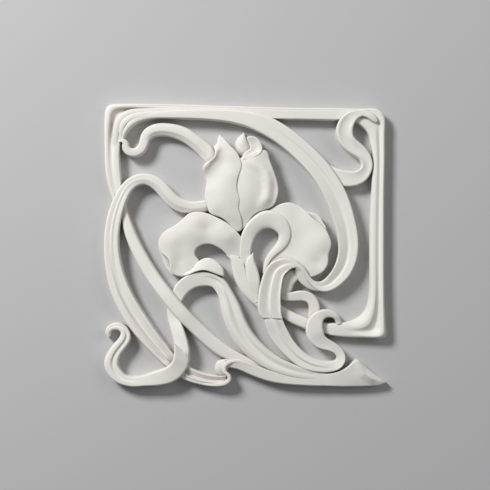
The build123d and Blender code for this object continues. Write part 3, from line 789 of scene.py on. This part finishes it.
def joinForms():
    body = forms[0]
    others = bpy.data.collections.new("forms")
    for piece in forms[1:]:
        others.objects.link(piece)
    union = body.modifiers.new("union", "BOOLEAN")
    union.operation = "UNION"
    union.operand_type = "COLLECTION"
    union.collection = others
    union.solver = "MANIFOLD"
    depsgraph = bpy.context.evaluated_depsgraph_get()
    mesh = bpy.data.meshes.new_from_object(body.evaluated_get(depsgraph))
    for piece in forms:
        bpy.data.objects.remove(piece)
    bpy.data.collections.remove(others)
    joined = bpy.data.objects.new("irisCasting", mesh)
    bpy.context.scene.collection.objects.link(joined)
    return joined


irisCasting = joinForms()
irisCasting.data.materials.clear()
low, high = (np.array(corner) for corner in cadBox)  # the casting stays inside
coords = np.zeros(len(irisCasting.data.vertices) * 3)
irisCasting.data.vertices.foreach_get("co", coords)
irisCasting.data.vertices.foreach_set("co", np.clip(coords.reshape(-1, 3), low, high).ravel())
irisCasting.data.shade_smooth()
irisCasting.data.set_sharp_from_angle(angle=math.radians(casting["sharpAngle"]))
irisCasting.data.calc_loop_triangles()
print("stage: casting joined,", len(irisCasting.data.loop_triangles), "triangles")

# Shared surface effects
surface = {
    "grainScale": 1000.0,
    "grainDetail": 4.0,
    "grainRoughness": 0.6,
    "cloudScale": 40.0,
    "cloudDetail": 5.0,
    "cloudRoughness": 0.55,
    "pitScale": 0.28,  # of the grain's scale
    "pitSpan": (0.05, 0.17),  # from a pit's bottom to its rim
    "pitDepth": 0.5,
    "hollowReach": 0.009,  # m
    "hollowSpan": (0.72, 0.22),  # light that reaches in, from clean to the full dust colour, which also paints in shade
    "hollowSamples": 12,
    "rimReach": 0.002,  # m
    "rimSpan": (0.75, 0.35),
    "rimSamples": 8,
}


def effectGroup(name, inputs, outputs):
    tree = bpy.data.node_groups.new(name, "ShaderNodeTree")
    for label, value in inputs.items():
        socket = tree.interface.new_socket(label, in_out="INPUT", socket_type="NodeSocketFloat")
        socket.default_value = value
    for label in outputs:
        tree.interface.new_socket(label, in_out="OUTPUT", socket_type="NodeSocketFloat")
    return tree, tree.nodes.new("NodeGroupInput"), tree.nodes.new("NodeGroupOutput")


def addNode(tree, kind, values=None, **settings):
    node = tree.nodes.new(kind)
    for label, value in settings.items():
        setattr(node, label, value)
    for label, value in (values or {}).items():
        node.inputs[label].default_value = value
    return node


def spanMask(tree, span, full=1.0):  # 0 at the span's first value, full at its second
    values = {"From Min": span[0], "From Max": span[1], "To Min": 0.0, "To Max": full}
    return addNode(tree, "ShaderNodeMapRange", values)


def castGrain():  # cloudy tone and the sandy skin of a casting
    scales = {"Grain Scale": surface["grainScale"], "Cloud Scale": surface["cloudScale"]}
    tree, into, out = effectGroup("castGrain", scales, ("Height", "Cloud"))
    place = addNode(tree, "ShaderNodeTexCoord")
    grain, cloud = (
        addNode(tree, "ShaderNodeTexNoise",
                {"Detail": surface[kind + "Detail"], "Roughness": surface[kind + "Roughness"]})
        for kind in ("grain", "cloud"))
    pits = addNode(tree, "ShaderNodeTexVoronoi", {"Randomness": 1.0})
    pitScale = addNode(tree, "ShaderNodeMath", {1: surface["pitScale"]}, operation="MULTIPLY")
    pitMask = spanMask(tree, surface["pitSpan"], surface["pitDepth"])
    height = addNode(tree, "ShaderNodeMath", operation="ADD")
    for texture in (grain, cloud, pits):
        tree.links.new(place.outputs["Object"], texture.inputs["Vector"])
    tree.links.new(into.outputs["Grain Scale"], grain.inputs["Scale"])
    tree.links.new(into.outputs["Grain Scale"], pitScale.inputs[0])
    tree.links.new(pitScale.outputs[0], pits.inputs["Scale"])
    tree.links.new(into.outputs["Cloud Scale"], cloud.inputs["Scale"])
    tree.links.new(pits.outputs["Distance"], pitMask.inputs["Value"])
    tree.links.new(grain.outputs["Fac"], height.inputs[0])
    tree.links.new(pitMask.outputs["Result"], height.inputs[1])
    tree.links.new(height.outputs[0], out.inputs["Height"])
    tree.links.new(cloud.outputs["Fac"], out.inputs["Cloud"])
    return tree


def dustShadeAndHighlightMasks():  # dust and painted shade in the hollows, and a painted highlight on the rims
    reaches = {"Reach": surface["hollowReach"], "Rim Reach": surface["rimReach"]}
    tree, into, out = effectGroup("dustShadeAndHighlightMasks", reaches, ("DustAndShade", "RimHighlight"))
    roles = (("hollow", "Reach", "DustAndShade", False), ("rim", "Rim Reach", "RimHighlight", True))
    for kind, reach, result, inner in roles:
        shade = addNode(tree, "ShaderNodeAmbientOcclusion", samples=surface[kind + "Samples"],
                        only_local=True, inside=inner)
        mask = spanMask(tree, surface[kind + "Span"])
        tree.links.new(into.outputs[reach], shade.inputs["Distance"])
        tree.links.new(shade.outputs["AO"], mask.inputs["Value"])
        tree.links.new(mask.outputs["Result"], out.inputs[result])
    return tree


# White satin plaster
plaster = {
    "light": (0.82, 0.80, 0.755, 1),
    "cloud": (0.76, 0.735, 0.685, 1),
    # dust colour, which also paints shade into hollows and contact lines
    "dustAndShade": (0.27, 0.225, 0.18, 1),
    # rim colour, a painted highlight along the edges
    "rim": (0.88, 0.865, 0.83, 1),
    "dustAndShadeShare": 0.85,
    "rimHighlightShare": 0.5,
    "roughness": (0.48, 0.64),
    "shine": 0.25,
    "bump": 0.3,
    "bumpDepth": 0.0004,  # m
}


def mixColours(tree, share, first, second):
    mix = addNode(tree, "ShaderNodeMix", data_type="RGBA")
    for label, source in (("Factor_Float", share), ("A_Color", first), ("B_Color", second)):
        socket = next(item for item in mix.inputs if item.identifier == label)
        if isinstance(source, tuple):
            socket.default_value = source
        else:
            tree.links.new(source, socket)
    return next(item for item in mix.outputs if item.identifier == "Result_Color")


def shareOf(tree, mask, share):
    part = addNode(tree, "ShaderNodeMath", {1: share}, operation="MULTIPLY")
    tree.links.new(mask, part.inputs[0])
    return part.outputs[0]


def plasterFinish():
    material = bpy.data.materials.new("plaster")
    material.use_nodes = True
    tree = material.node_tree
    shader = tree.nodes["Principled BSDF"]
    grain = addNode(tree, "ShaderNodeGroup", node_tree=castGrain())
    dustShadeAndHighlight = addNode(tree, "ShaderNodeGroup", node_tree=dustShadeAndHighlightMasks())
    clouded = mixColours(tree, grain.outputs["Cloud"], plaster["light"], plaster["cloud"])
    # painted highlight: proud rims are lightened towards the rim colour
    rimHighlightMask = shareOf(tree, dustShadeAndHighlight.outputs["RimHighlight"], plaster["rimHighlightShare"])
    rimHighlighted = mixColours(tree, rimHighlightMask, clouded, plaster["rim"])
    # painted shade: hollows that little ambient light reaches darken to the dust colour, along with real
    # dust
    dustAndShade = shareOf(tree, dustShadeAndHighlight.outputs["DustAndShade"], plaster["dustAndShadeShare"])
    dustedAndShaded = mixColours(tree, dustAndShade, rimHighlighted, plaster["dustAndShade"])
    smoothest, roughest = plaster["roughness"]
    roughness = addNode(tree, "ShaderNodeMapRange", {"To Min": smoothest, "To Max": roughest})
    bump = addNode(tree, "ShaderNodeBump", {"Strength": plaster["bump"], "Distance": plaster["bumpDepth"]})
    shader.inputs["Specular IOR Level"].default_value = plaster["shine"]
    tree.links.new(dustedAndShaded, shader.inputs["Base Color"])
    tree.links.new(grain.outputs["Cloud"], roughness.inputs["Value"])
    tree.links.new(roughness.outputs["Result"], shader.inputs["Roughness"])
    tree.links.new(grain.outputs["Height"], bump.inputs["Height"])
    tree.links.new(bump.outputs["Normal"], shader.inputs["Normal"])
    return material


irisCasting.data.materials.append(plasterFinish())
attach(irisCasting, "root")
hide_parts(casting["node"])

# Floor, light and camera
studio = {
    "floorSize": 6.0,  # m
    "floorColour": (0.50, 0.50, 0.505, 1),
    "floorRoughness": 0.8,
    "aim": (0, 0, 0),
    "keyPlace": (-1.35, 1.3, 1.5),
    "keySize": 0.7,
    "keyPower": 58.0,
    "fillPlace": (1.6, 0.7, 1.7),
    "fillSize": 1.4,
    "fillPower": 10.0,
    "worldColour": (1, 1, 1, 1),
    "worldStrength": 0.15,
    "pictureSide": 490,  # pixels
    "objectPixels": 283,  # the panel's side in the picture
    "panelSide": 0.3,  # m
    "middlePixel": (245.5, 245.0),
    "lens": 100.0,  # mm
    "sensor": 36.0,  # mm
}
floorMesh = bpy.data.meshes.new("floor")
halfFloor = studio["floorSize"] / 2
floorMesh.from_pydata([(-halfFloor, -halfFloor, 0), (halfFloor, -halfFloor, 0), (halfFloor, halfFloor, 0),
                       (-halfFloor, halfFloor, 0)], [], [(0, 1, 2, 3)])
floor = bpy.data.objects.new("floor", floorMesh)
bpy.context.scene.collection.objects.link(floor)
floorMaterial = bpy.data.materials.new("floor")
floorMaterial.use_nodes = True
floorShader = floorMaterial.node_tree.nodes["Principled BSDF"]
floorShader.inputs["Base Color"].default_value = studio["floorColour"]
floorShader.inputs["Roughness"].default_value = studio["floorRoughness"]
floorMesh.materials.append(floorMaterial)


def softLight(name, place, size, power):
    light = bpy.data.lights.new(name, "AREA")
    light.shape = "DISK"
    light.size = size
    light.energy = power
    lamp = bpy.data.objects.new(name, light)
    lamp.location = place
    lamp.rotation_euler = (Vector(studio["aim"]) - Vector(place)).to_track_quat("-Z", "Y").to_euler()
    bpy.context.scene.collection.objects.link(lamp)


softLight("keyLight", studio["keyPlace"], studio["keySize"], studio["keyPower"])
softLight("fillLight", studio["fillPlace"], studio["fillSize"], studio["fillPower"])
world = bpy.data.worlds.new("studio")
world.use_nodes = True
background = world.node_tree.nodes["Background"]
background.inputs["Color"].default_value = studio["worldColour"]
background.inputs["Strength"].default_value = studio["worldStrength"]
bpy.context.scene.world = world
pixel = studio["panelSide"] / studio["objectPixels"]
viewSide = studio["pictureSide"] * pixel
cameraData = bpy.data.cameras.new("camera")
cameraData.lens = studio["lens"]
cameraData.sensor_width = studio["sensor"]
cameraData.sensor_height = studio["sensor"]
camera = bpy.data.objects.new("camera", cameraData)
halfPicture = studio["pictureSide"] / 2
middleAcross, middleDown = studio["middlePixel"]
camera.location = ((halfPicture - middleAcross) * pixel, (middleDown - halfPicture) * pixel,
                   viewSide * studio["lens"] / studio["sensor"] + high[2] / 2)
bpy.context.scene.collection.objects.link(camera)
bpy.context.scene.camera = camera
bpy.context.scene.view_settings.view_transform = "Standard"
print("stage: studio set")
